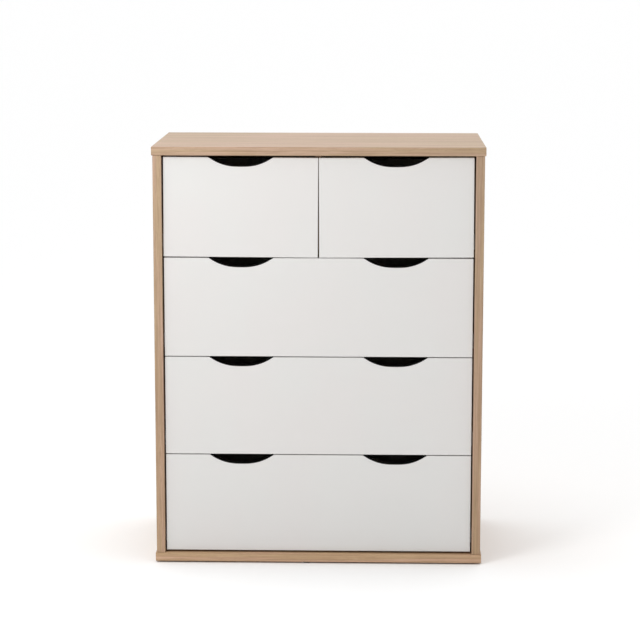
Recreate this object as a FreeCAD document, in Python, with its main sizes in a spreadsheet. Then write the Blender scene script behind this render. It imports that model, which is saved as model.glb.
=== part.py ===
"""Tall chest of drawers: two small drawers over three wide ones, inset in a foiled-board carcass.

Origin: centre of the footprint on the floor. +Z is up, the drawer fronts face -Y. Millimetres and degrees.
Every size below is a cell of the spreadsheet, and every object is bound to those cells.
"""
import FreeCAD, Part
import math
import os
import re

import Sketcher

SIZES = {
    # carcass
    "overall_width": 690,
    "overall_depth": 390,
    "overall_height": 883,
    "board": 18,                  # top, bottom and side panels
    "end_overhang": 2.4,          # top and bottom panels past the side panels, each end
    "front_overhang": 2,          # top and bottom panels past the side panels' front edges
    "inner_board": 15,            # divider and rails
    "rail_width": 60,
    "rail_clearance": 1,          # behind the drawer fronts
    "back_board": 3,
    "back_margin": 6,             # back board short of the panels' outer faces
    "fold_groove": 1.2,           # score that lets the back board fold in two
    # floor glides
    "glide_height": 3,
    "glide_radius": 9,
    "glide_nail_radius": 0.9,
    "glide_nail_length": 12,
    "glide_inset": 34,            # corner glides, from the bottom panel's edges
    "front_glide_inset": 11,      # extra glide close behind the front edge
    "front_glide_offset": 24,     # and a little left of the middle
    # drawer fronts
    "front_height": 207.3,
    "front_thickness": 15,
    "front_recess": 9,            # behind the top panel's front edge
    "front_lean": 0.26,           # small fronts lean in towards each other
    "row_gap": 2,
    "bottom_gap": 4.5,
    "side_gap": 3,
    "centre_gap": 2.2,
    # scooped finger cut-outs: a nearly flat middle, a haunch each side, and a rounded shoulder
    "cutout_depth": 19.2,
    "cutout_middle_radius": 376,
    "cutout_middle_width": 22.6,
    "cutout_haunch_radius": 98,
    "cutout_shoulder_radius": 12.4,
    "edging": 0.8,                # black edging glued round each cut-out
    # drawer boxes
    "box_board": 12,
    "box_depth": 350,
    "box_height": 155,
    "box_lift": 20,               # above the lower edge of the front
    "runner_space": 12.6,         # between box and carcass, each side
    "base_board": 3,
    "base_lift": 10,              # above the lower edge of the box sides
    "base_housing": 6,            # base let into the grooves
    # roller runners: distances from the carcass wall and from the carcass member's lower face
    "steel": 1.2,
    "member_height": 30,
    "track_width": 10.8,
    "track_lip": 4,
    "track_roof": 18.8,
    "roof_cutback": 30,
    "rail_seat": 21.3,
    "rail_reach": 9.6,
    "hook_depth": 4.2,            # the box rests in the drawer member at this height
    "hook_width": 10,
    "axle_inset": 14,             # rollers, from the ends of the members
    "axle_radius": 2.5,
    "axle_head_radius": 3.6,
    "axle_clearance": 0.05,
    "front_roller_radius": 9,
    "front_roller_height": 12,
    "rear_roller_radius": 8.2,
    "rear_roller_height": 9.7,
    "roller_width": 5.6,
    "roller_offset": 3,           # rollers, from the carcass wall
    "roller_play": 0.3,           # between a roller and its axle's head
    # fasteners
    "cam_radius": 7.5,
    "cam_depth": 12.5,
    "cam_reach": 24,              # cam centre from the joint
    "cam_axis": 8,                # bolt axis below the face the cam is let into
    "cam_slot": 8.4,              # room for the bolt's head
    "cross_length": 9,            # screwdriver recess in the cam's face
    "cross_width": 1.6,
    "cross_depth": 2,
    "cam_inset": 60,
    "bolt_radius": 2.5,
    "bolt_head_radius": 3.6,
    "bolt_head_length": 3,
    "bolt_bore_radius": 4,
    "bolt_grip": 11,
    "dowel_radius": 4,
    "dowel_length": 30,
    "dowel_grip": 12,
    "dowel_inset": 28,
    "rail_fitting_offset": 12,    # cam and dowel in a rail's end, each side of its middle
    "divider_dowel_offset": 20,   # dowels in the divider's ends, from the rails' middles
    "screw_shank_radius": 1.7,
    "screw_shank_length": 11,
    "screw_head_radius": 3.7,
    "screw_head_height": 1.8,
    "screw_height": 25,           # above the carcass member's lower face
    "screw_inset": 50,            # first screw, from the carcass member's front end
    "screw_spacing": 125,
    "nail_radius": 0.8,
    "nail_length": 16,
    "nail_head_radius": 2.2,
    "nail_head_height": 0.8,
    "nail_inset": 6,
    "divider_nail_offset": 2.5,   # clear of the score in the back board
}
SCREWS_PER_RUNNER = 3
NAILS_PER_SIDE = 7
NAILS_PER_END = 6
DIVIDER_NAILS = (0.3, 0.7)        # shares of the divider's height

doc = FreeCAD.newDocument("chest_of_drawers")
sheet = doc.addObject("Spreadsheet::Sheet", "Sizes")
for line, (alias, size) in enumerate(SIZES.items(), start=1):
    sheet.set(f"A{line}", alias)
    sheet.set(f"B{line}", str(size))
    sheet.setAlias(f"B{line}", alias)
doc.recompute()

# Stations of the carcass, as expressions of the cells
HALF_WIDTH = "(overall_width / 2)"
SIDE_OUTER = "(overall_width / 2 - end_overhang)"
SIDE_INNER = "(overall_width / 2 - end_overhang - board)"
FRONT_EDGE = "(-overall_depth / 2)"
CARCASS_BACK = "(overall_depth / 2 - nail_head_height - back_board)"
BOTTOM_TOP = "(glide_height + board)"
TOP_UNDERSIDE = "(overall_height - board)"
FRONT_REAR = "(-overall_depth / 2 + front_recess + front_thickness)"
RAIL_FRONT = f"({FRONT_REAR} + rail_clearance)"
FRONT_END = f"({SIDE_INNER} - side_gap)"
CUTOUT_CENTRE = f"(({FRONT_END} + centre_gap / 2) / 2)"
DIVIDER_FACE = "(inner_board / 2)"


def row_base(row):
    """Lower edge of the drawer fronts in a row, counted from the bottom."""
    return f"(glide_height + board + bottom_gap + {row} * (front_height + row_gap))"


RAIL_BOTTOM = f"({row_base(3)} - row_gap / 2)"
RAIL_TOP = f"({RAIL_BOTTOM} + inner_board)"

# name, row, ends of the front, carcass faces that carry the runners, side of each cut-out, lean
DRAWERS = (
    ("lower_drawer", 0, f"(-{FRONT_END})", FRONT_END, f"(-{SIDE_INNER})", SIDE_INNER, (-1, 1), 0),
    ("middle_drawer", 1, f"(-{FRONT_END})", FRONT_END, f"(-{SIDE_INNER})", SIDE_INNER, (-1, 1), 0),
    ("upper_drawer", 2, f"(-{FRONT_END})", FRONT_END, f"(-{SIDE_INNER})", SIDE_INNER, (-1, 1), 0),
    ("top_left_drawer", 3, f"(-{FRONT_END})", "(-centre_gap / 2)",
     f"(-{SIDE_INNER})", f"(-{DIVIDER_FACE})", (-1,), 1),
    ("top_right_drawer", 3, "(centre_gap / 2)", FRONT_END, DIVIDER_FACE, SIDE_INNER, (1,), -1),
)

# rotations that turn a prototype's own X and Z to the directions named
AXIS = {"+x": (1, 0, 0), "-x": (-1, 0, 0), "+y": (0, 1, 0),
        "-y": (0, -1, 0), "+z": (0, 0, 1), "-z": (0, 0, -1)}


def turned(x_to, z_to):
    x, z = FreeCAD.Vector(*AXIS[x_to]), FreeCAD.Vector(*AXIS[z_to])
    return FreeCAD.Rotation(x, z.cross(x), z, "ZXY")


def cells(expression):
    """The expression with every alias written as a cell of the sheet."""
    return re.sub(r"[a-z]\w*", lambda word: f"Sizes.{word[0]}" if word[0] in SIZES else word[0], expression)


def bind(obj, prop, expression):
    obj.setExpression(prop, cells(str(expression)))


def place(obj, at, rotation=None):
    """Put an object's origin at three expressions, turned by a fixed rotation."""
    if rotation is not None:
        obj.Placement = FreeCAD.Placement(FreeCAD.Vector(), rotation)
    for axis, expression in zip("xyz", at):
        bind(obj, f"Placement.Base.{axis}", expression)


def box(name, low, high):
    """A rectangular board between two corners."""
    board = doc.addObject("Part::Box", name)
    for side, start, end in zip(("Length", "Width", "Height"), low, high):
        bind(board, side, f"({end}) - ({start})")
    place(board, low)
    return board


def cylinder(name, radius, length, at, axis="+z"):
    rod = doc.addObject("Part::Cylinder", name)
    bind(rod, "Radius", radius)
    bind(rod, "Height", length)
    around = {"+z": "+x", "+x": "+y", "+y": "+z"}[axis]
    place(rod, at, turned(around, axis))
    return rod


def group(name, members):
    """Separate solids kept as one object."""
    compound = doc.addObject("Part::Compound", name)
    compound.Links = members
    return compound


def fuse(name, pieces):
    whole = doc.addObject("Part::MultiFuse", name)
    whole.Shapes = pieces
    return whole


def cut(name, base, tools):
    """The base less every tool; the tools stay for other objects to use."""
    piece = doc.addObject("Part::Cut", name)
    piece.Base = base
    piece.Tool = tools[0] if len(tools) == 1 else group(f"{name}_tools", tools)
    return piece


def copy(prototype, name, at, rotation=None):
    link = doc.addObject("App::Link", name)
    link.LinkedObject = prototype
    link.LinkTransform = True
    place(link, at, rotation)
    return link


def copies(prototype, name, places):
    """One object holding a copy of the prototype at each (at, rotation)."""
    return group(name, [copy(prototype, f"{name}_{i}", at, turn) for i, (at, turn) in enumerate(places)])


# ---------------------------------------------------------------- sketches

def new_body(name):
    return doc.addObject("PartDesign::Body", name)


def sketch_on(body, role, name):
    sketch = body.newObject("Sketcher::SketchObject", name)
    plane = next(item for item in body.Origin.OriginFeatures if item.Role == role)
    sketch.AttachmentSupport = [(plane, "")]
    sketch.MapMode = "FlatFace"
    return sketch


def pad(body, sketch, length):
    feature = body.newObject("PartDesign::Pad", f"{body.Name}_pad")
    feature.Profile = sketch
    bind(feature, "Length", length)
    return feature


def revolve(body, sketch):
    """A full turn about the sketch's vertical axis."""
    feature = body.newObject("PartDesign::Revolution", f"{body.Name}_turned")
    feature.Profile = sketch
    feature.ReferenceAxis = (sketch, ["V_Axis"])
    feature.Angle = 360
    return feature


def number(expression):
    """What an expression comes to, for the first position of a sketched point."""
    return float(sheet.evalExpression(cells(str(expression))))


def fix_point(sketch, geometry, end, at):
    """Hold a point at two expressions from the sketch's origin."""
    for kind, expression in zip(("DistanceX", "DistanceY"), at):
        index = sketch.addConstraint(Sketcher.Constraint(kind, -1, 1, geometry, end, number(expression)))
        bind(sketch, f"Constraints[{index}]", expression)


def measure(sketch, kind, expression, *where):
    index = sketch.addConstraint(Sketcher.Constraint(kind, *where, number(expression)))
    bind(sketch, f"Constraints[{index}]", expression)


def line(sketch, start, end):
    return sketch.addGeometry(Part.LineSegment(FreeCAD.Vector(*start, 0), FreeCAD.Vector(*end, 0)), False)


def polygon(sketch, corners):
    """A closed outline through corners given as pairs of expressions."""
    points = [tuple(number(value) for value in corner) for corner in corners]
    sides = [line(sketch, points[i], points[(i + 1) % len(points)]) for i in range(len(points))]
    for i, side in enumerate(sides):
        sketch.addConstraint(Sketcher.Constraint("Coincident", side, 2, sides[(i + 1) % len(sides)], 1))
        fix_point(sketch, side, 1, corners[i])


def arc(sketch, centre, radius, start, end):
    circle = Part.Circle(FreeCAD.Vector(*centre, 0), FreeCAD.Vector(0, 0, 1), radius)
    return sketch.addGeometry(Part.ArcOfCircle(circle, math.radians(start), math.radians(end)), False)


def scoop(sketch, centre, edging, shoulder_turn):
    """The five tangent arcs of a finger cut-out, from its left shoulder to its right one.

    The sketch's origin is half a front's height below the top edge. The arcs lie `edging` inside the
    cut, and the shoulders start `shoulder_turn` degrees from upright.
    """
    middle_r = f"(cutout_middle_radius - {edging})"
    haunch_r = f"(cutout_haunch_radius - {edging})"
    shoulder_r = f"(cutout_shoulder_radius + {edging})"
    chord = f"(cutout_middle_width * {middle_r} / cutout_middle_radius)"
    middle_y = "(front_height / 2 - cutout_depth + cutout_middle_radius)"
    shoulder_y = "(front_height / 2 - cutout_shoulder_radius)"

    x, big, haunch, small = (number(e) for e in (centre, middle_r, haunch_r, shoulder_r))
    top_y, low_y = number(middle_y), number(shoulder_y)
    turn = math.asin(number(chord) / 2 / big)
    haunch_x = (big - haunch) * math.sin(turn)
    haunch_y = top_y - (big - haunch) * math.cos(turn)
    rise = haunch_y - low_y
    shoulder_x = haunch_x + math.sqrt((haunch + small) ** 2 - rise ** 2)
    slope = math.degrees(math.atan2(shoulder_x - haunch_x, rise))
    turn = math.degrees(turn)

    left_shoulder = arc(sketch, (x - shoulder_x, low_y), small, 90 - slope, 90 - shoulder_turn)
    left_haunch = arc(sketch, (x - haunch_x, haunch_y), haunch, 270 - slope, 270 - turn)
    middle = arc(sketch, (x, top_y), big, 270 - turn, 270 + turn)
    right_haunch = arc(sketch, (x + haunch_x, haunch_y), haunch, 270 + turn, 270 + slope)
    right_shoulder = arc(sketch, (x + shoulder_x, low_y), small, 90 + shoulder_turn, 90 + slope)
    for first, first_end, second, second_end in (
            (left_shoulder, 1, left_haunch, 1), (left_haunch, 2, middle, 1),
            (middle, 2, right_haunch, 1), (right_haunch, 2, right_shoulder, 2)):
        sketch.addConstraint(Sketcher.Constraint("Tangent", first, first_end, second, second_end))
    fix_point(sketch, middle, 3, (centre, middle_y))
    measure(sketch, "DistanceX", chord, middle, 1, middle, 2)
    for piece, radius in ((middle, middle_r), (left_haunch, haunch_r), (right_haunch, haunch_r),
                          (left_shoulder, shoulder_r), (right_shoulder, shoulder_r)):
        measure(sketch, "Radius", radius, piece)
    for shoulder in (left_shoulder, right_shoulder):
        measure(sketch, "DistanceY", shoulder_y, -1, 1, shoulder, 3)
    return left_shoulder, right_shoulder


def end_point(sketch, geometry, end):
    point = sketch.getPoint(geometry, end)
    return point.x, point.y


def scooped_board(name, width, centres):
    """A drawer front: a board in the XZ plane, centred on its origin, with scoops in its top edge."""
    body = new_body(name)
    sketch = sketch_on(body, "XZ_Plane", f"{name}_outline")
    half_w, half_h = number(f"{width} / 2"), number("front_height / 2")
    scoops = [scoop(sketch, centre, 0, 0) for centre in centres]

    bottom = line(sketch, (-half_w, -half_h), (half_w, -half_h))
    right = line(sketch, (half_w, -half_h), (half_w, half_h))
    left = line(sketch, (-half_w, half_h), (-half_w, -half_h))
    fix_point(sketch, bottom, 1, (f"-{width} / 2", "-front_height / 2"))
    fix_point(sketch, bottom, 2, (f"{width} / 2", "-front_height / 2"))
    for side in (left, right):
        sketch.addConstraint(Sketcher.Constraint("Vertical", side))
    sketch.addConstraint(Sketcher.Constraint("Coincident", bottom, 2, right, 1))
    sketch.addConstraint(Sketcher.Constraint("Coincident", left, 2, bottom, 1))

    # the top edge runs from the left corner to the first scoop, between scoops, and on to the right corner
    left_top = line(sketch, (-half_w, half_h), end_point(sketch, scoops[0][0], 2))
    right_top = line(sketch, end_point(sketch, scoops[-1][1], 1), (half_w, half_h))
    sketch.addConstraint(Sketcher.Constraint("Coincident", left, 1, left_top, 1))
    sketch.addConstraint(Sketcher.Constraint("Coincident", right, 2, right_top, 2))
    sketch.addConstraint(Sketcher.Constraint("Tangent", left_top, 2, scoops[0][0], 2))
    sketch.addConstraint(Sketcher.Constraint("Tangent", right_top, 1, scoops[-1][1], 1))
    for top in (left_top, right_top):
        sketch.addConstraint(Sketcher.Constraint("Horizontal", top))
    for before, after in zip(scoops, scoops[1:]):
        between = line(sketch, end_point(sketch, before[1], 1), end_point(sketch, after[0], 2))
        sketch.addConstraint(Sketcher.Constraint("Tangent", between, 1, before[1], 1))
        sketch.addConstraint(Sketcher.Constraint("Tangent", between, 2, after[0], 2))
    pad(body, sketch, "front_thickness")
    return body


def edging_strips(name, centres):
    """The thin strips that line a front's scoops, each ending flush with the top edge."""
    body = new_body(name)
    body.AllowCompound = True
    sketch = sketch_on(body, "XZ_Plane", f"{name}_outline")
    inner_r = number("cutout_shoulder_radius + edging")
    turn = math.degrees(math.acos(number("cutout_shoulder_radius") / inner_r))
    for centre in centres:
        outer = scoop(sketch, centre, 0, turn)
        inner = scoop(sketch, centre, "edging", turn)
        for outer_arc, inner_arc, end in ((outer[0], inner[0], 2), (outer[1], inner[1], 1)):
            cap = line(sketch, end_point(sketch, outer_arc, end), end_point(sketch, inner_arc, end))
            sketch.addConstraint(Sketcher.Constraint("Coincident", cap, 1, outer_arc, end))
            sketch.addConstraint(Sketcher.Constraint("Coincident", cap, 2, inner_arc, end))
            sketch.addConstraint(Sketcher.Constraint("PointOnObject", outer_arc, 3, cap))
            measure(sketch, "DistanceY", "front_height / 2", -1, 1, inner_arc, end)
    pad(body, sketch, "front_thickness")
    return body


def section_bar(name, corners, length):
    """A bar whose closed section in the XZ plane runs from the origin towards +Y."""
    body = new_body(name)
    sketch = sketch_on(body, "XZ_Plane", f"{name}_section")
    polygon(sketch, corners)
    pad(body, sketch, length).Reversed = True
    return body


def turned_piece(name, half_section):
    """A piece turned about its own Z axis from a half section of (radius, height) pairs."""
    body = new_body(name)
    sketch = sketch_on(body, "XZ_Plane", f"{name}_half_section")
    polygon(sketch, half_section)
    revolve(body, sketch)
    return body


# ---------------------------------------------------------------- fasteners and glides

def cam_lock():
    """A cam in the fitting's frame: the joint is at x = 0 and the cam opens towards it."""
    disc = cylinder("cam_disc", "cam_radius", "cam_depth", ("-cam_reach", 0, "cam_axis - cam_depth"))
    slot = box("cam_slot_space", ("-cam_reach - cam_slot / 2", "-cam_slot / 2", "-cam_depth"),
               ("0", "cam_slot / 2", "cam_slot / 2"))
    floor, top = "cam_axis - cross_depth", "cam_axis + 1"
    recesses = [
        box("cam_cross_along", ("-cam_reach - cross_length / 2", "-cross_width / 2", floor),
            ("-cam_reach + cross_length / 2", "cross_width / 2", top)),
        box("cam_cross_over", ("-cam_reach - cross_width / 2", "-cross_length / 2", floor),
            ("-cam_reach + cross_width / 2", "cross_length / 2", top))]
    return cut("cam", disc, [slot] + recesses), disc


def cam_bolt():
    """A steel bolt along X, screwed into the far board with its head inside the cam."""
    shank = cylinder("bolt_shank", "bolt_radius", "cam_reach + bolt_grip", ("-cam_reach", 0, 0), "+x")
    head = cylinder("bolt_head", "bolt_head_radius", "bolt_head_length", ("-cam_reach", 0, 0), "+x")
    return fuse("bolt", [shank, head])


def cam_places():
    """(joint point, rotation) of every cam fitting; X runs into the far board, Z out of the cam's face."""
    front_y = f"({FRONT_EDGE} + front_overhang + cam_inset)"
    rear_y = f"({CARCASS_BACK} - cam_inset)"
    places = []
    for sign, out in ((-1, "+x"), (1, "-x")):
        x = f"{sign} * ({SIDE_INNER} + cam_axis)"
        for y in (front_y, rear_y):
            places.append(((x, y, TOP_UNDERSIDE), turned("+z", out)))
            places.append(((x, y, BOTTOM_TOP), turned("-z", out)))
    for y in rail_middles():
        for sign, into in ((-1, "-x"), (1, "+x")):
            at = (f"{sign} * {SIDE_INNER}", f"{y} - rail_fitting_offset", f"{RAIL_BOTTOM} + cam_axis")
            places.append((at, turned(into, "-z")))
        x = f"(cam_axis - {DIVIDER_FACE})"
        places.append(((x, y, TOP_UNDERSIDE), turned("+z", "-x")))
        places.append(((x, y, RAIL_TOP), turned("-z", "-x")))
    return places


def rail_middles():
    return f"({RAIL_FRONT} + rail_width / 2)", f"({CARCASS_BACK} - rail_width / 2)"


def dowel_places():
    """(joint point, rotation) of every wooden dowel; X runs into the board with the shallower bore."""
    places = []
    middle = "(overall_width / 2 - end_overhang - board / 2)"
    for sign in (-1, 1):
        for y in (f"({FRONT_EDGE} + front_overhang + dowel_inset)", f"({CARCASS_BACK} - dowel_inset)"):
            at = f"{sign} * {middle}"
            places.append(((at, y, TOP_UNDERSIDE), turned("+z", "+x")))
            places.append(((at, y, BOTTOM_TOP), turned("-z", "+x")))
    for y in rail_middles():
        for sign, into in ((-1, "-x"), (1, "+x")):
            x, z = f"{sign} * {SIDE_INNER}", f"{RAIL_BOTTOM} + inner_board / 2"
            places.append(((x, f"{y} + rail_fitting_offset", z), turned(into, "+z")))
        for z, into in ((TOP_UNDERSIDE, "+z"), (RAIL_TOP, "-z")):
            places.append(((0, f"{y} + divider_dowel_offset", z), turned(into, "+x")))
    return places


def glide_places():
    x, y = "(overall_width / 2 - glide_inset)", "(overall_depth / 2 - glide_inset)"
    corners = [(f"{i} * {x}", f"{j} * {y}", 0) for i in (-1, 1) for j in (-1, 1)]
    front = ("-front_glide_offset", f"{FRONT_EDGE} + front_glide_inset", 0)
    return [(at, None) for at in corners + [front]]


def nail_places():
    """Nails round the edge of the back board and up the divider, pointing forwards."""
    side = f"({SIDE_OUTER} - nail_inset)"
    low, high = "(glide_height + board / 2)", "(overall_height - board / 2)"
    face = f"({CARCASS_BACK} + back_board)"
    points = []
    for i in range(1, NAILS_PER_SIDE + 1):
        z = f"({low} + {i} / {NAILS_PER_SIDE + 1} * ({high} - {low}))"
        points += [(f"{sign} * {side}", face, z) for sign in (-1, 1)]
    for i in range(NAILS_PER_END):
        x = f"({side} * ({2 * i + 1 - NAILS_PER_END}) / {NAILS_PER_END})"
        points += [(x, face, z) for z in (low, high)]
    for share in DIVIDER_NAILS:
        z = f"({RAIL_TOP} + {share} * ({TOP_UNDERSIDE} - {RAIL_TOP}))"
        points.append(("divider_nail_offset", face, z))
    return [(point, turned("+x", "+y")) for point in points]


# ---------------------------------------------------------------- runners

def carcass_member(side):
    """The carcass half of a runner; the drawer lies towards side * X. Front end at y = 0, wall at x = 0."""
    name = f"carcass_member_{'right' if side < 0 else 'left'}"
    bar = section_bar(name, [(f"{side} * {x}", z) for x, z in (
        ("0", "0"), ("track_width", "0"), ("track_width", "track_lip"),
        ("(track_width - steel)", "track_lip"), ("(track_width - steel)", "steel"), ("steel", "steel"),
        ("steel", "track_roof"), ("rail_reach", "track_roof"), ("rail_reach", "track_roof + steel"),
        ("steel", "track_roof + steel"), ("steel", "member_height"), ("0", "member_height"))], "box_depth")
    span = ("steel", "track_width + 1") if side > 0 else ("-track_width - 1", "-steel")
    mouth = box(f"{name}_mouth", (span[0], "-1", "track_lip + 1"),
                (span[1], "roof_cutback", "track_roof + 2 * steel"))
    outside = "(roller_offset + roller_width + roller_play)"
    reach = f"{outside} + steel"
    start = "0" if side > 0 else f"-({reach})"
    pin = cylinder(f"{name}_axle", "axle_radius", reach, (start, "axle_inset", "front_roller_height"), "+x")
    start = outside if side > 0 else f"-({reach})"
    head = cylinder(f"{name}_axle_head", "axle_head_radius", "steel",
                    (start, "axle_inset", "front_roller_height"), "+x")
    return fuse(f"{name}_riveted", [cut(f"{name}_cut_back", bar, [mouth]), pin, head])


def drawer_member(side):
    """The drawer half of a runner; the carcass wall is at x = 0 and the box lies towards side * X."""
    name = f"drawer_member_{'right' if side < 0 else 'left'}"
    plate = "(runner_space - steel)"
    bar = section_bar(name, [(f"{side} * {x}", z) for x, z in (
        ("(runner_space + hook_width)", "(hook_depth - steel)"),
        ("(runner_space + hook_width)", "hook_depth"),
        ("runner_space", "hook_depth"), ("runner_space", "(rail_seat + steel)"),
        ("roller_offset", "(rail_seat + steel)"), ("roller_offset", "rail_seat"),
        (plate, "rail_seat"), (plate, "(hook_depth - steel)"))], "box_depth")
    tip = "(roller_offset - roller_play)"
    axle_y = "box_depth - axle_inset"
    start = tip if side > 0 else f"-{plate} - steel / 2"
    pin = cylinder(f"{name}_axle", "axle_radius", f"{plate} + steel / 2 - {tip}",
                   (start, axle_y, "rear_roller_height"), "+x")
    start = f"{tip} - steel / 2" if side > 0 else f"-{tip}"
    head = cylinder(f"{name}_axle_head", "axle_head_radius", "steel / 2",
                    (start, axle_y, "rear_roller_height"), "+x")
    return fuse(f"{name}_riveted", [bar, pin, head])


def roller(name, radius):
    """A nylon roller on its side about X, from x = 0 to its width, with a running bore."""
    bore = "(axle_radius + axle_clearance)"
    return turned_piece(name, ((bore, 0), (radius, 0), (radius, "roller_width"), (bore, "roller_width")))


# ---------------------------------------------------------------- prototypes

cam, cam_blank = cam_lock()
bolt = cam_bolt()
bolt_bore = cylinder("bolt_bore", "bolt_bore_radius", "cam_reach", ("-cam_reach", 0, 0), "+x")
dowel = cylinder("dowel", "dowel_radius", "dowel_length", ("dowel_grip - dowel_length", 0, 0), "+x")
glide = turned_piece("glide", ((0, 0), ("(glide_radius - 1)", 0), ("glide_radius", 1),
                               ("glide_radius", "glide_height"), ("glide_nail_radius", "glide_height"),
                               ("glide_nail_radius", "(glide_height + glide_nail_length)"),
                               (0, "(glide_height + glide_nail_length)")))
nail = turned_piece("nail", ((0, "nail_head_height"), (0, "-nail_length"), ("nail_radius", "-nail_length"),
                             ("nail_radius", 0), ("nail_head_radius", 0),
                             ("nail_head_radius", "nail_head_height")))
screw = turned_piece("screw", ((0, "screw_head_height"), (0, "-screw_shank_length"),
                               ("screw_shank_radius", "-screw_shank_length"), ("screw_shank_radius", 0),
                               ("screw_head_radius", 0), ("screw_head_radius", "(screw_head_height / 2)"),
                               ("(screw_head_radius * 0.6)", "screw_head_height")))
members = {"carcass": {1: carcass_member(1), -1: carcass_member(-1)},
           "drawer": {1: drawer_member(1), -1: drawer_member(-1)}}
front_roller = roller("front_roller", "front_roller_radius")
rear_roller = roller("rear_roller", "rear_roller_radius")


# ---------------------------------------------------------------- drawers

def runner_base(row):
    return f"({row_base(row)} + box_lift - hook_depth)"


def build_drawer(name, row, front_left, front_right, wall_left, wall_right, cutouts, lean):
    """The separate pieces of one drawer, and the names of those pieces."""
    base = row_base(row)
    left, right = f"({wall_left} + runner_space)", f"({wall_right} - runner_space)"
    rear = f"({FRONT_REAR} + box_depth)"
    low, high = f"({base} + box_lift)", f"({base} + box_lift + box_height)"
    base_low = f"({low} + base_lift)"
    base_high = f"({base_low} + base_board)"
    inner_left, inner_right = f"({left} + box_board)", f"({right} - box_board)"

    panel = box(f"{name}_base",
                (f"({inner_left} - base_housing)", f"({FRONT_REAR} - base_housing)", base_low),
                (f"({inner_right} + base_housing)", rear, base_high))

    middle = f"(({front_left} + {front_right}) / 2)"
    centres = [f"({side} * {CUTOUT_CENTRE} - {middle})" for side in cutouts]
    blank = scooped_board(f"{name}_blank", f"({front_right} - {front_left})", centres)
    strips = edging_strips(f"{name}_cutout_edging", centres)
    upright = FreeCAD.Rotation(FreeCAD.Vector(0, 1, 0), 1)  # about Y; its angle is bound below
    for piece in (blank, strips):
        place(piece, (middle, FRONT_REAR, f"({base} + front_height / 2)"), upright)
        bind(piece, "Placement.Rotation.Angle", f"{lean} * front_lean")
    front = cut(f"{name}_front", blank, [panel])

    left_blank = box(f"{name}_left_blank", (left, FRONT_REAR, low), (inner_left, rear, high))
    right_blank = box(f"{name}_right_blank", (inner_right, FRONT_REAR, low), (right, rear, high))
    left_side = cut(f"{name}_left_side", left_blank, [panel])
    right_side = cut(f"{name}_right_side", right_blank, [panel])
    back = box(f"{name}_back", (inner_left, f"({rear} - box_board)", base_high), (inner_right, rear, high))

    z = runner_base(row)
    runners = group(f"{name}_runners", [
        copy(members["drawer"][1], f"{name}_runner_left", (wall_left, FRONT_REAR, z)),
        copy(members["drawer"][-1], f"{name}_runner_right", (wall_right, FRONT_REAR, z))])
    rear_y = f"({rear} - axle_inset)"
    rear_z = f"({z} + rear_roller_height)"
    rear_rollers = copies(rear_roller, f"{name}_rear_rollers", [
        ((f"({wall_left} + roller_offset)", rear_y, rear_z), turned("+z", "+x")),
        ((f"({wall_right} - roller_offset)", rear_y, rear_z), turned("+z", "-x"))])
    front_y, front_z = f"({RAIL_FRONT} + axle_inset)", f"({z} + front_roller_height)"
    front_rollers = copies(front_roller, f"{name}_front_rollers", [
        ((f"({wall_left} + roller_offset)", front_y, front_z), turned("+z", "+x")),
        ((f"({wall_right} - roller_offset)", front_y, front_z), turned("+z", "-x"))])
    return [front, left_side, right_side, back, panel, strips, runners, rear_rollers, front_rollers]


drawer_pieces = [piece for drawer in DRAWERS for piece in build_drawer(*drawer)]


# ---------------------------------------------------------------- carcass

def runner_walls():
    """(wall, side the drawer lies on, row) for every runner screwed to the carcass."""
    return [(wall, side, row) for _, row, _, _, wall_left, wall_right, _, _ in DRAWERS
            for wall, side in ((wall_left, 1), (wall_right, -1))]


def screw_places():
    places = []
    for wall, side, row in runner_walls():
        for i in range(SCREWS_PER_RUNNER):
            y = f"({RAIL_FRONT} + screw_inset + {i} * screw_spacing)"
            at = (f"({wall} + {side} * steel)", y, f"({runner_base(row)} + screw_height)")
            places.append((at, turned("+z", "+x") if side > 0 else turned("-z", "-x")))
    return places


cams = copies(cam, "cam_locks", cam_places())
bolts = copies(bolt, "cam_bolts", cam_places())
dowels = copies(dowel, "wooden_dowels", dowel_places())
glides = copies(glide, "floor_glides", glide_places())
nails = copies(nail, "back_nails", nail_places())
screws = copies(screw, "runner_screws", screw_places())
cam_bores = copies(bolt_bore, "cam_bolt_bores", cam_places())
cam_pockets = copies(cam_blank, "cam_pockets", cam_places())
fastenings = group("fastenings", [bolts, cam_bores, cam_pockets, dowels, glides, nails, screws])


def drilled_board(name, low, high):
    """A board drilled wherever a fastening enters it."""
    return cut(name, box(f"{name}_blank", low, high), [fastenings])


carcass_pieces = [
    drilled_board("top_panel", (f"(-{HALF_WIDTH})", FRONT_EDGE, TOP_UNDERSIDE),
                  (HALF_WIDTH, CARCASS_BACK, "overall_height")),
    drilled_board("bottom_panel", (f"(-{HALF_WIDTH})", FRONT_EDGE, "glide_height"),
                  (HALF_WIDTH, CARCASS_BACK, BOTTOM_TOP)),
    drilled_board("left_side_panel", (f"(-{SIDE_OUTER})", f"({FRONT_EDGE} + front_overhang)", BOTTOM_TOP),
                  (f"(-{SIDE_INNER})", CARCASS_BACK, TOP_UNDERSIDE)),
    drilled_board("right_side_panel", (SIDE_INNER, f"({FRONT_EDGE} + front_overhang)", BOTTOM_TOP),
                  (SIDE_OUTER, CARCASS_BACK, TOP_UNDERSIDE)),
    drilled_board("front_rail", (f"(-{SIDE_INNER})", RAIL_FRONT, RAIL_BOTTOM),
                  (SIDE_INNER, f"({RAIL_FRONT} + rail_width)", RAIL_TOP)),
    drilled_board("rear_rail", (f"(-{SIDE_INNER})", f"({CARCASS_BACK} - rail_width)", RAIL_BOTTOM),
                  (SIDE_INNER, CARCASS_BACK, RAIL_TOP)),
    drilled_board("centre_divider", (f"(-{DIVIDER_FACE})", RAIL_FRONT, RAIL_TOP),
                  (DIVIDER_FACE, CARCASS_BACK, TOP_UNDERSIDE)),
]
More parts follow.
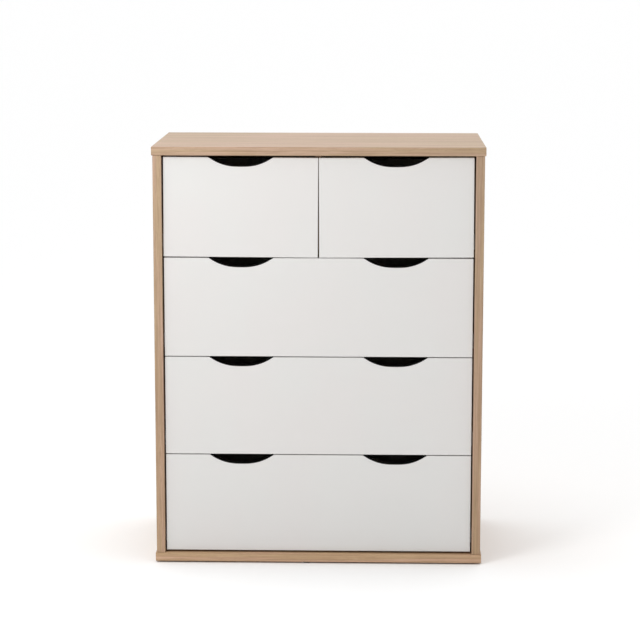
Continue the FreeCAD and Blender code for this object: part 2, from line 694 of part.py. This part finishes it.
back_blank = box("back_blank",
                 (f"(-{SIDE_OUTER} + back_margin / 2)", CARCASS_BACK, "(glide_height + back_margin)"),
                 (f"({SIDE_OUTER} - back_margin / 2)", f"({CARCASS_BACK} + back_board)",
                  "(overall_height - back_margin)"))
score = box("back_score", ("(-fold_groove / 2)", f"({CARCASS_BACK} + back_board / 2)", "0"),
            ("(fold_groove / 2)", f"({CARCASS_BACK} + back_board + 1)", "overall_height"))
carcass_pieces.append(cut("back_panel", back_blank, [score, nails]))
carcass_runners = group("carcass_runners_solid", [
    copy(members["carcass"][side], f"carcass_runner_{i}", (wall, RAIL_FRONT, runner_base(row)))
    for i, (wall, side, row) in enumerate(runner_walls())])
carcass_pieces.append(cut("carcass_runners", carcass_runners, [screws]))
carcass_pieces += [cams, bolts, dowels, glides, nails, screws]

# ---------------------------------------------------------------- check and write

doc.recompute()
for item in doc.Objects:
    if any(word in str(item.State) for word in ("Invalid", "Error")):
        raise RuntimeError(f"{item.Name} did not recompute: {item.State}")

os.makedirs("parts", exist_ok=True)
pieces = carcass_pieces + drawer_pieces
for piece in pieces:
    piece.Label = piece.Name
    shape = piece.Shape
    if shape.isNull() or not shape.isValid() or not shape.Solids:
        raise RuntimeError(f"{piece.Name} is not a valid solid")
for piece in pieces:
    piece.Shape.exportStep(f"parts/{piece.Label}.step")
print(len(pieces), "pieces written")
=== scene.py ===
import math

import bmesh
import bpy
from mathutils import Matrix, Vector


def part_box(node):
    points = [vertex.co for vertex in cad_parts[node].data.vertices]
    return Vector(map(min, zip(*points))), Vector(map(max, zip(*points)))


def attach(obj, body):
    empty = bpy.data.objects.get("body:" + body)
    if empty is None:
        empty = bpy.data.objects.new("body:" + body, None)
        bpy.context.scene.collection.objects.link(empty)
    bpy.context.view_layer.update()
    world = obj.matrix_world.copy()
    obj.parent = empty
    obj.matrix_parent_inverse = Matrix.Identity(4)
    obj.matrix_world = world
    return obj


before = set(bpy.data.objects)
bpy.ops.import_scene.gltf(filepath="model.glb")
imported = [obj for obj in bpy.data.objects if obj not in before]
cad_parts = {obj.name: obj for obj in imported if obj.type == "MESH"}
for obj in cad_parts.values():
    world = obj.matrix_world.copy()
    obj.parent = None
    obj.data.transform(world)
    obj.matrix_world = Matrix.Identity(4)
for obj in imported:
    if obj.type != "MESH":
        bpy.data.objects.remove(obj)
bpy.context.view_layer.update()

# ---- Carcass boards
# Top, bottom and sides are 18 mm chipboard, the rails and the divider 15 mm, all wrapped
# in pale oak-effect foil whose grain runs the long way of each board. Front edges carry a
# thin matching edge band, ironed on; the rear edges are left raw behind the back board.


class Wire:
    """An output in a finish's node tree. Arithmetic on it adds Math nodes, and node() adds any other."""

    def __init__(self, tree, output=None):
        self.tree, self.output = tree, output

    def node(self, kind, settings, sockets, give=0):
        made = self.tree.nodes.new(kind)
        for name, value in settings.items():
            setattr(made, name, value)
        for name, value in sockets.items():
            if isinstance(value, Wire):
                self.tree.links.new(value.output, made.inputs[name])
            elif value is not None:
                made.inputs[name].default_value = value
        return Wire(self.tree, made.outputs[give])

    def maths(self, operation, first, second=None):
        return self.node("ShaderNodeMath", {"operation": operation}, {0: first, 1: second})

    def __add__(self, other):
        return self.maths("ADD", self, other)

    def __sub__(self, other):
        return self.maths("SUBTRACT", self, other)

    def __rsub__(self, other):
        return self.maths("SUBTRACT", other, self)

    def __mul__(self, other):
        return self.maths("MULTIPLY", self, other)

    def __gt__(self, other):
        return self.maths("GREATER_THAN", self, other)

    def __lt__(self, other):
        return self.maths("LESS_THAN", self, other)

    def __abs__(self):
        return self.maths("ABSOLUTE", self)

    __radd__, __rmul__ = __add__, __mul__

    def ease(self, low, high):
        """0 below low and 1 above high, with a smooth rise between them."""
        return self.node("ShaderNodeMapRange", {"interpolation_type": "SMOOTHSTEP"},
                         {"Value": self, "From Min": low, "From Max": high})

    def axes(self):
        """The three numbers of a vector."""
        return [self.node("ShaderNodeSeparateXYZ", {}, {0: self}, give=i) for i in range(3)]

    def tint(self, first, second):
        """The colour first where this is 0, and second where it is 1."""
        colours = [c if isinstance(c, Wire) else (*c, 1) for c in (first, second)]
        return self.node("ShaderNodeMix", {"data_type": "RGBA"},
                         {0: self, 6: colours[0], 7: colours[1]}, give=2)


def new_finish(name):
    """A new material, the place on the piece in metres, and the way its surface faces."""
    material = bpy.data.materials.new(name)
    material.use_nodes = True
    start = Wire(material.node_tree)
    place = start.node("ShaderNodeTexCoord", {}, {}, give="Object")
    facing = start.node("ShaderNodeTexCoord", {}, {}, give="Normal")
    return material, place, facing


def stretched(place, sizes, shift=(0, 0, 0)):
    """place in steps of sizes, in metres along each axis, for a texture with a direction."""
    return place.node("ShaderNodeMapping", {}, {"Vector": place, "Location": shift,
                                                "Scale": [1 / size for size in sizes]})


def mottle(vector, detail=2.0, roughness=0.5, distortion=0.0):
    """Soft noise about 0.5, one step of the vector across."""
    return vector.node("ShaderNodeTexNoise", {}, {"Vector": vector, "Scale": 1.0, "Detail": detail,
                                                  "Roughness": roughness, "Distortion": distortion})


def coat(material, colour, roughness, bump=None, depth=0.0001, strength=1.0, **fixed):
    """Feeds the material's shader: colour, roughness and bump vary over the piece, the fixed ones don't."""
    tree = material.node_tree
    shader = tree.nodes["Principled BSDF"]
    tree.links.new(colour.output, shader.inputs["Base Color"])
    tree.links.new(roughness.output, shader.inputs["Roughness"])
    if bump is not None:
        raised = bump.node("ShaderNodeBump", {}, {"Strength": strength, "Distance": depth, "Height": bump})
        tree.links.new(raised.output, shader.inputs["Normal"])
    for name, value in fixed.items():
        shader.inputs[name.replace("_", " ")].default_value = value
    return material


def chipboard(place):
    """Colour and height of sawn chipboard: pale flakes with darker ones among them."""
    flakes = place.node("ShaderNodeTexVoronoi", {}, {"Vector": stretched(place, (0.0022, 0.0022, 0.0011)),
                                                     "Scale": 1.0}, give="Color")
    shade, height, _ = flakes.axes()
    fine = mottle(stretched(place, (0.0006,) * 3), detail=3)
    colour = (shade * 0.75 + fine * 0.35).tint((0.30, 0.19, 0.10), (0.62, 0.47, 0.30))
    return colour, height


def oak_foil(board, grain, shift, shade):
    """Printed oak grain along the given axis of the board. Bands on its ends run across it, a dark hairline
    shows where a band meets the face foil, and the rear edge is raw. Nearer the floor the colour is darkened
    and warmed as painted shade."""
    material, place, facing = new_finish(f"{board}_foil")
    x, y, z = place.axes()
    facing_x, facing_y, _ = facing.axes()
    low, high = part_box(board)
    seams = [(y, low.y + BAND)]
    if grain == "X":
        seams += [(x, low.x + BAND), (x, high.x - BAND), (z, low.z + ARRIS), (z, high.z - ARRIS)]
        face = place.node("ShaderNodeCombineXYZ", {}, {0: x, 1: y, 2: z})
        band = place.node("ShaderNodeCombineXYZ", {}, {0: y, 1: x, 2: z})
        length = place.node("ShaderNodeMix", {"data_type": "VECTOR"},
                            {0: abs(facing_x) > 0.8, 4: face, 5: band}, give=1)
    else:
        seams += [(x, low.x + ARRIS), (x, high.x - ARRIS)]
        length = place.node("ShaderNodeCombineXYZ", {}, {0: z, 1: y, 2: x})

    sway = mottle(stretched(length, GRAIN["sway"], shift), detail=1)
    bend = place.node("ShaderNodeCombineXYZ", {}, {0: 0.0, 1: sway * SWAY_ACROSS, 2: sway * SWAY_DEEP})
    swayed = place.node("ShaderNodeVectorMath", {"operation": "ADD"}, {0: length, 1: bend})
    bands = mottle(stretched(swayed, GRAIN["bands"], shift), detail=2)
    figure = mottle(stretched(swayed, GRAIN["figure"], shift), detail=3, roughness=0.6)
    streaks = mottle(stretched(swayed, GRAIN["streaks"], shift), detail=2, roughness=0.65)
    pores = mottle(stretched(swayed, GRAIN["pores"], shift), detail=1).ease(0.62, 0.72)

    # The board's factor scales every oak colour; for the bottom panel it lifts the foil as painted light.
    oak = {name: tuple(shade * part for part in colour) for name, colour in OAK.items()}
    tone = bands.ease(0.38, 0.62).tint(oak["pink"], oak["honey"])
    tone = (figure.ease(0.42, 0.66) * 0.85).tint(tone, oak["brown"])
    tone = (streaks.ease(0.45, 0.80) * 0.60).tint(tone, oak["dark"])
    tone = (0.5 - streaks.ease(0.22, 0.45) * 0.5).tint(tone, oak["cream"])
    tone = (pores * 0.35).tint(tone, oak["pore"])
    # Painted warm shade: the foil is multiplied towards a darker, warmer colour nearer the floor, standing in
    # for dimmer, warmer light low down.
    tone = place.node("ShaderNodeMix", {"data_type": "RGBA", "blend_type": "MULTIPLY"},
                      {0: 1 - z.ease(-0.5, 0.85), 6: tone, 7: (*PAINTED_WARM_SHADE_LOW_DOWN, 1)}, give=2)
    height = 0.5 - pores * 0.35 + streaks * 0.15
    for across, line in seams:
        seam = abs(across - line) < SEAM / 2
        tone = (seam * 0.5).tint(tone, oak["pore"])
        height = height - seam * 0.5
    sawn, flakes = chipboard(place)
    raw = facing_y > 0.9
    tone = raw.tint(tone, sawn)
    height = height * (1 - raw) + flakes * raw
    roughness = 0.40 + figure * 0.10 + pores * 0.12 + raw * 0.4
    return coat(material, tone, roughness, height, depth=0.00012, strength=0.6, IOR=1.5)


def soften(board, radius):
    """Rounds a board's arrises slightly, as foil wrapped over an edge does."""
    weld = board.modifiers.new("weld", "WELD")
    weld.merge_threshold = 0.00001
    flat = board.modifiers.new("flat_faces", "DECIMATE")
    flat.decimate_type, flat.angle_limit = "DISSOLVE", math.radians(0.5)
    arris = board.modifiers.new("arris", "BEVEL")
    arris.width, arris.segments = radius, 3
    arris.limit_method, arris.angle_limit = "ANGLE", math.radians(50)
    arris.use_clamp_overlap = False
    board.modifiers.new("shading", "WEIGHTED_NORMAL").keep_sharp = False


def clad(name, material):
    """Gives the CAD piece of that name its finish."""
    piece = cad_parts[name]
    for slot in piece.material_slots:
        slot.material = material
    return piece


OAK = {"pink": (0.520, 0.348, 0.247), "honey": (0.468, 0.330, 0.200), "brown": (0.372, 0.243, 0.147),
       "dark": (0.290, 0.182, 0.107), "cream": (0.575, 0.430, 0.296), "pore": (0.216, 0.131, 0.074)}
# Painted warm shade, multiplied into the oak foil more strongly towards the floor.
PAINTED_WARM_SHADE_LOW_DOWN = (0.95, 0.88, 0.78)
GRAIN = {"sway": (0.35, 0.08, 0.08), "bands": (0.30, 0.040, 0.011), "figure": (0.30, 0.0085, 0.0040),
         "streaks": (0.10, 0.0016, 0.0016), "pores": (0.014, 0.0005, 0.0005)}
SWAY_ACROSS, SWAY_DEEP = 0.03, 0.006
BAND, ARRIS, SEAM = 0.0011, 0.0006, 0.0004
FOIL_ROUND = 0.0009
# Each board's number scales its foil colour. The bottom panel's 1.24 is painted light: its foil is drawn
# about a fifth lighter to make up for the shade the floor puts on its front edge.
CARCASS_BOARDS = {"top_panel": ("X", 1.02), "bottom_panel": ("X", 1.24), "left_side_panel": ("Z", 1.01),
                  "right_side_panel": ("Z", 0.99), "front_rail": ("X", 1.0), "rear_rail": ("X", 1.0),
                  "centre_divider": ("Z", 1.0)}
for number, (name, (grain, shade)) in enumerate(CARCASS_BOARDS.items()):
    shift = (3.1 * number, 1.7 * number, 0.6 * number)
    soften(clad(name, oak_foil(name, grain, shift, shade)), FOIL_ROUND)

# ---- Cams, bolts and dowels
# The carcass is pulled together by cast zinc cams that turn onto steel bolts, and lined up
# by fluted beech dowels, all sunk in the boards' bores.


def zinc_plate(name, colour):
    """Zinc-plated steel or casting: cloudy grey with fine wear."""
    material, place, _ = new_finish(name)
    cloud = mottle(stretched(place, (0.004,) * 3), detail=3)
    grit = mottle(stretched(place, (0.0004,) * 3), detail=2)
    tone = cloud.ease(0.3, 0.7).tint(colour, tuple(0.82 * c for c in colour))
    return coat(material, tone, 0.28 + cloud * 0.16, grit, depth=0.00003, strength=0.5, Metallic=1.0)


bright_zinc = zinc_plate("bright_zinc", (0.68, 0.68, 0.67))
cast_zinc = zinc_plate("cast_zinc", (0.52, 0.51, 0.49))
clad("cam_locks", cast_zinc)
clad("cam_bolts", bright_zinc)

material, place, _ = new_finish("beech")
fleck = mottle(stretched(place, (0.004, 0.0006, 0.0006)), detail=2)
clad("wooden_dowels", coat(material, fleck.ease(0.3, 0.7).tint((0.60, 0.42, 0.26), (0.47, 0.31, 0.18)),
                           0.6 + fleck * 0.1, fleck, depth=0.0001, strength=0.5))

# ---- Back board
# One 3 mm hardboard scored down the middle so that it folds for packing, printed on the
# inside and bare brown outside. Paper tape holds the fold, and steel nails fix the edges.


def hardboard(name, bare_axis, bare_sign, printed):
    """Printed on the face away from the bare side; bare pressed fibre on that side and on the edges."""
    material, place, facing = new_finish(name)
    bare = facing.axes()["XYZ".index(bare_axis)] * bare_sign > -0.5
    fibres = mottle(stretched(place, (0.0022, 0.0022, 0.0022)), detail=5, roughness=0.7, distortion=0.6)
    cloud = mottle(stretched(place, (0.12,) * 3), detail=2)
    grit = mottle(stretched(place, (0.0007,) * 3), detail=2)
    brown = (fibres * 0.8 + cloud * 0.4 - 0.1).tint((0.30, 0.165, 0.082), (0.47, 0.29, 0.16))
    print_tone = (cloud * 0.5 + grit * 0.3).tint(printed, tuple(0.93 * c for c in printed))
    return coat(material, bare.tint(print_tone, brown), 0.50 + bare * 0.18 + grit * 0.08,
                fibres * bare + grit * 0.2, depth=0.00012, strength=0.5)


clad("back_panel", hardboard("back_hardboard", "Y", 1, (0.55, 0.41, 0.29)))
clad("back_nails", bright_zinc)

TAPE_THICKNESS, TAPE_ROWS, TAPE_MARGIN, TAPE_WAVER = 0.0002, 60, 0.004, 0.0004
TAPE_SECTION = [(-0.024, 0), (-0.008, 0), (-0.0016, 0), (-0.0006, 0.0004),
                (0.0006, 0.0004), (0.0016, 0), (0.008, 0), (0.024, 0)]
material, place, _ = new_finish("paper_tape")
crepe = mottle(stretched(place, (0.004, 0.004, 0.0012)), detail=4, roughness=0.6)
paper_tape = coat(material, crepe.ease(0.3, 0.7).tint((0.66, 0.58, 0.45), (0.57, 0.48, 0.35)),
                  0.62 + crepe * 0.1, crepe, depth=0.0001, strength=0.5)
low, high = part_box("back_panel")
mesh = bpy.data.meshes.new("back_fold_tape")
tape = bmesh.new()
rows = []
for i in range(TAPE_ROWS + 1):
    z = low.z + TAPE_MARGIN + (high.z - low.z - 2 * TAPE_MARGIN) * i / TAPE_ROWS
    waver = TAPE_WAVER * math.sin(9 * i)
    rows.append([tape.verts.new((x + waver, high.y + TAPE_THICKNESS - dip, z)) for x, dip in TAPE_SECTION])
for lower, upper in zip(rows, rows[1:]):
    for i in range(len(TAPE_SECTION) - 1):
        tape.faces.new((lower[i + 1], lower[i], upper[i], upper[i + 1]))
tape.normal_update()
tape.to_mesh(mesh)
tape.free()
fold_tape = bpy.data.objects.new("back_fold_tape", mesh)
bpy.context.scene.collection.objects.link(fold_tape)
fold_tape.data.materials.append(paper_tape)
thickness = fold_tape.modifiers.new("thickness", "SOLIDIFY")
thickness.thickness, thickness.offset = TAPE_THICKNESS, -1
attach(fold_tape, "carcass")

# ---- Floor glides
# Five dark brown moulded glides, nailed up into the bottom panel: one near each corner and
# one under the middle of the front edge.

material, place, _ = new_finish("glide_plastic")
moulded = mottle(stretched(place, (0.0009,) * 3), detail=2)
clad("floor_glides", coat(material, moulded.tint((0.060, 0.038, 0.026), (0.040, 0.025, 0.018)),
                          0.42 + moulded * 0.12, moulded, depth=0.00005, strength=0.6))

# ---- Carcass runners
# Rolled steel channels in white epoxy powder coat, with a riveted axle at the front end of
# each, fixed to the sides and the divider with three short screws apiece.


def epoxy_coat(name, colour):
    """Powder coat over rolled steel: faint orange peel and a slightly uneven shine."""
    material, place, _ = new_finish(name)
    peel = mottle(stretched(place, (0.0011,) * 3), detail=1)
    cloud = mottle(stretched(place, (0.03,) * 3), detail=2)
    tone = cloud.tint(colour, tuple(0.95 * c for c in colour))
    return coat(material, tone, 0.30 + cloud * 0.1, peel, depth=0.00006, strength=0.5)


runner_epoxy = epoxy_coat("runner_epoxy", (0.74, 0.74, 0.72))
clad("carcass_runners", runner_epoxy)
clad("runner_screws", bright_zinc)

# ---- Drawer boxes
# Sides and back are 12 mm board in pale grey-white foil, grooved for a 3 mm hardboard base
# that is printed white above and left brown below. Ends of the boards are raw.


def box_foil(name, raw_ends):
    """Pale paper foil with a faint fibre; raw board shows on the ends that face along Y."""
    material, place, facing = new_finish(name)
    _, facing_y, _ = facing.axes()
    fibre = mottle(stretched(place, (0.003, 0.0012, 0.0012)), detail=4, roughness=0.7)
    cloud = mottle(stretched(place, (0.09,) * 3), detail=2)
    tone = (fibre * 0.7 + cloud * 0.3).ease(0.3, 0.75).tint((0.68, 0.67, 0.645), (0.615, 0.605, 0.58))
    roughness = 0.48 + fibre * 0.12
    if raw_ends:
        sawn, _ = chipboard(place)
        raw = abs(facing_y) > 0.9
        tone = raw.tint(tone, sawn)
        roughness = roughness + raw * 0.3
    return coat(material, tone, roughness, fibre, depth=0.00005, strength=0.6)


BOX_ROUND = 0.0005
DRAWERS = ("lower_drawer", "middle_drawer", "upper_drawer", "top_left_drawer", "top_right_drawer")
side_foil, back_foil = box_foil("drawer_side_foil", True), box_foil("drawer_back_foil", False)
drawer_hardboard = hardboard("drawer_hardboard", "Z", -1, (0.66, 0.65, 0.62))
for drawer in DRAWERS:
    for side in ("left_side", "right_side"):
        soften(clad(f"{drawer}_{side}", side_foil), BOX_ROUND)
    soften(clad(f"{drawer}_back", back_foil), BOX_ROUND)
    clad(f"{drawer}_base", drawer_hardboard)

# ---- Drawer fronts
# 15 mm board in matt white foil, wrapped over soft arrises. Each finger cut-out is routed
# from the top edge and lined with black edging 15 mm wide, glued round the curve.


def white_foil(name, shift):
    """Matt white foil: an even tone, a trace of warmth in patches and a very fine peel."""
    material, place, _ = new_finish(name)
    patch = mottle(stretched(place, (0.16, 0.16, 0.22), shift), detail=2)
    peel = mottle(stretched(place, (0.0008,) * 3, shift), detail=2)
    tone = patch.ease(0.3, 0.7).tint(WHITE["warm"], WHITE["cool"])
    roughness = 0.47 + patch * 0.06 + peel * 0.03
    return coat(material, tone, roughness, peel, depth=0.00003, strength=0.35, IOR=1.45)


FRONT_ROUND = 0.0007
WHITE = {"warm": (0.748, 0.727, 0.710), "cool": (0.742, 0.734, 0.716)}
material, place, _ = new_finish("black_edging")
grain = mottle(stretched(place, (0.0007,) * 3), detail=2)
black_edging = coat(material, grain.tint((0.004, 0.004, 0.004), (0.007, 0.007, 0.006)), 0.55 + grain * 0.12,
                    grain, depth=0.00004, strength=0.5, Specular_IOR_Level=0.18)
for number, drawer in enumerate(DRAWERS):
    front_foil = white_foil(f"{drawer}_front_foil", (number * 2.3, 0, number * 1.1))
    soften(clad(f"{drawer}_front", front_foil), FRONT_ROUND)
    clad(f"{drawer}_cutout_edging", black_edging)

# ---- Drawer runners and rollers
# The drawer halves are rolled steel angles in the same epoxy coat, hooked under the sides.
# Nylon rollers turn on riveted axles: the rear pair on the drawer, the front on the carcass.

material, place, _ = new_finish("nylon")
milky = mottle(stretched(place, (0.002,) * 3), detail=2)
nylon = coat(material, milky.tint((0.72, 0.71, 0.67), (0.66, 0.65, 0.60)), 0.38 + milky * 0.1, milky,
             depth=0.00004, strength=0.4)
for drawer in DRAWERS:
    clad(f"{drawer}_runners", runner_epoxy)
    clad(f"{drawer}_rear_rollers", nylon)
    clad(f"{drawer}_front_rollers", nylon)

# ---- Drawer screws and cams
# Small zinc cams draw each front onto the sides. Countersunk screws hold the back between
# the sides, pan-head screws the runners, and short screws the rear edge of the base.

HEAD_SEGMENTS, RECESS_TAPER = 32, 0.6


def cross_head(profile, arm, slot, depth):
    """A turned head about Z from (radius, height) pairs, low to high, with a cross recess in its top."""
    head = bmesh.new()
    turns = [2 * math.pi * i / HEAD_SEGMENTS for i in range(HEAD_SEGMENTS)]
    rings = [[head.verts.new((r * math.cos(t), r * math.sin(t), z)) for t in turns] for r, z in profile]
    for low, high in zip(rings, rings[1:]):
        for i in range(HEAD_SEGMENTS):
            j = (i + 1) % HEAD_SEGMENTS
            head.faces.new((low[i], low[j], high[j], high[i])).smooth = True
    head.faces.new(list(reversed(rings[0])))
    top = profile[-1][1]
    quarter = [(arm, -slot), (arm, slot), (slot, slot)]
    outline = []
    for _ in range(4):
        outline += quarter
        quarter = [(-y, x) for x, y in quarter]
    mouth = [head.verts.new((x, y, top)) for x, y in outline]
    floor = [head.verts.new((x * RECESS_TAPER, y * RECESS_TAPER, top - depth)) for x, y in outline]
    loops = []
    for ring in (rings[-1], mouth):
        for i, vert in enumerate(ring):
            near = ring[(i + 1) % len(ring)]
            loops.append(head.edges.get((vert, near)) or head.edges.new((vert, near)))
    bmesh.ops.triangle_fill(head, use_beauty=True, edges=loops, normal=(0, 0, 1))
    for i in range(len(mouth)):
        j = (i + 1) % len(mouth)
        head.faces.new((mouth[i], mouth[j], floor[j], floor[i]))
    head.faces.new(floor)
    bmesh.ops.recalc_face_normals(head, faces=head.faces)
    mesh = bpy.data.meshes.new("head")
    head.to_mesh(mesh)
    head.free()
    return mesh


def fasteners(name, drawer, kind, places, material):
    """One object holding a head at each (point, direction it faces), riding on the drawer."""
    every = bmesh.new()
    for point, facing in places:
        one = kind.copy()
        one.transform(Matrix.Translation(point) @ Vector(facing).to_track_quat("Z", "Y").to_matrix().to_4x4())
        every.from_mesh(one)
        bpy.data.meshes.remove(one)
    mesh = bpy.data.meshes.new(name)
    every.to_mesh(mesh)
    every.free()
    mesh.materials.append(material)
    piece = bpy.data.objects.new(name, mesh)
    bpy.context.scene.collection.objects.link(piece)
    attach(piece, drawer)


cam_face = cross_head([(0.0060, -0.0008), (0.0060, 0.00015), (0.0056, 0.0003)], 0.0038, 0.0008, 0.0009)
countersunk = cross_head([(0.0034, -0.0006), (0.0036, 0.0001), (0.0033, 0.0002)], 0.0021, 0.00045, 0.0007)
pan_head = cross_head([(0.0036, -0.0003), (0.0037, 0.0006), (0.0032, 0.0015), (0.0024, 0.0019)],
                      0.0019, 0.0004, 0.0011)
SIDE_HEIGHTS, CAM_FROM_FRONT = (0.28, 0.80), 0.024
RUNNER_SCREWS, RUNNER_SKIN, BASE_SCREWS = (0.035, 0.160, 0.300), 0.001, (0.1, 0.5, 0.9)
for drawer in DRAWERS:
    left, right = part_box(f"{drawer}_left_side"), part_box(f"{drawer}_right_side")
    base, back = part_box(f"{drawer}_base"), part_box(f"{drawer}_back")
    heights = [left[0].z + share * (left[1].z - left[0].z) for share in SIDE_HEIGHTS]
    outer = ((left[0].x, (-1, 0, 0)), (right[1].x, (1, 0, 0)))
    back_middle = (back[0].y + back[1].y) / 2
    fasteners(f"{drawer}_cams", drawer, cam_face,
              [((x, left[0].y + CAM_FROM_FRONT, z), facing)
               for x, facing in outer for z in heights], cast_zinc)
    fasteners(f"{drawer}_back_screws", drawer, countersunk,
              [((x, back_middle, z), facing) for x, facing in outer for z in heights], bright_zinc)
    under_sides = ((left[0].x + left[1].x) / 2, (right[0].x + right[1].x) / 2)
    fasteners(f"{drawer}_runner_screws", drawer, pan_head,
              [((x, left[0].y + distance, left[0].z - RUNNER_SKIN), (0, 0, -1))
               for x in under_sides for distance in RUNNER_SCREWS], bright_zinc)
    across = [base[0].x + share * (base[1].x - base[0].x) for share in BASE_SCREWS]
    fasteners(f"{drawer}_base_screws", drawer, pan_head,
              [((x, back_middle, base[0].z), (0, 0, -1)) for x in across], bright_zinc)

# ---- Floor, light and camera
# A pale seamless floor and white backdrop in a soft studio: broad light from the ceiling, light
# from all round that is stronger from behind, and a soft panel high on the left in front.

material, place, _ = new_finish("studio_floor")
speck = mottle(stretched(place, (0.02,) * 3), detail=3)
coat(material, speck.tint((0.95, 0.95, 0.95), (0.94, 0.94, 0.94)), 0.8 + speck * 0.05, Specular_IOR_Level=0.1)
FLOOR_REACH = 200
ground = bpy.data.meshes.new("studio_floor")
ground.from_pydata([(x, y, 0) for x, y in ((-1, -1), (1, -1), (1, 1), (-1, 1))], [], [(0, 1, 2, 3)])
ground.transform(Matrix.Scale(FLOOR_REACH, 4))
ground.materials.append(material)
floor = bpy.data.objects.new("studio_floor", ground)
bpy.context.scene.collection.objects.link(floor)

world = bpy.data.worlds.new("studio")
world.use_nodes = True
studio = world.node_tree.nodes["Background"]
studio.inputs["Color"].default_value = (1, 1, 1, 1)
towards = Wire(world.node_tree).node("ShaderNodeTexCoord", {}, {}, give="Generated").axes()[1]
lit = towards.ease(-0.5, 0.7) * 0.55 + 0.45
backdrop = Wire(world.node_tree).node("ShaderNodeLightPath", {}, {}, give="Is Camera Ray")
world.node_tree.links.new(((1 - backdrop) * lit + backdrop).output, studio.inputs["Strength"])
bpy.context.scene.world = world
bpy.context.scene.view_settings.view_transform = "Standard"


def light_panel(name, at, aim, size, power):
    """A square soft light of that size, aimed at a point."""
    lamp = bpy.data.lights.new(name, "AREA")
    lamp.shape, lamp.size, lamp.energy = "SQUARE", size, power
    panel = bpy.data.objects.new(name, lamp)
    panel.location = at
    panel.rotation_euler = (Vector(aim) - Vector(at)).to_track_quat("-Z", "Y").to_euler()
    bpy.context.scene.collection.objects.link(panel)


light_panel("key_panel", (-0.9, -1.3, 1.55), (-0.1, 0, 0.75), 0.7, 11)
ceiling = bpy.data.lights.new("ceiling", "SUN")
ceiling.energy, ceiling.angle = 1.15, math.radians(60)
bpy.context.scene.collection.objects.link(bpy.data.objects.new("ceiling", ceiling))

camera = bpy.data.objects.new("camera", bpy.data.cameras.new("camera"))
bpy.context.scene.collection.objects.link(camera)
camera.data.sensor_width, camera.data.lens = 36, 120.56
camera.data.clip_start, camera.data.clip_end = 0.1, 1000
camera.location = (0.1140, -4.595, 1.2495)
camera.rotation_euler = (math.radians(90 - 9.37), math.radians(-0.04), math.radians(1.444))
bpy.context.scene.camera = camera
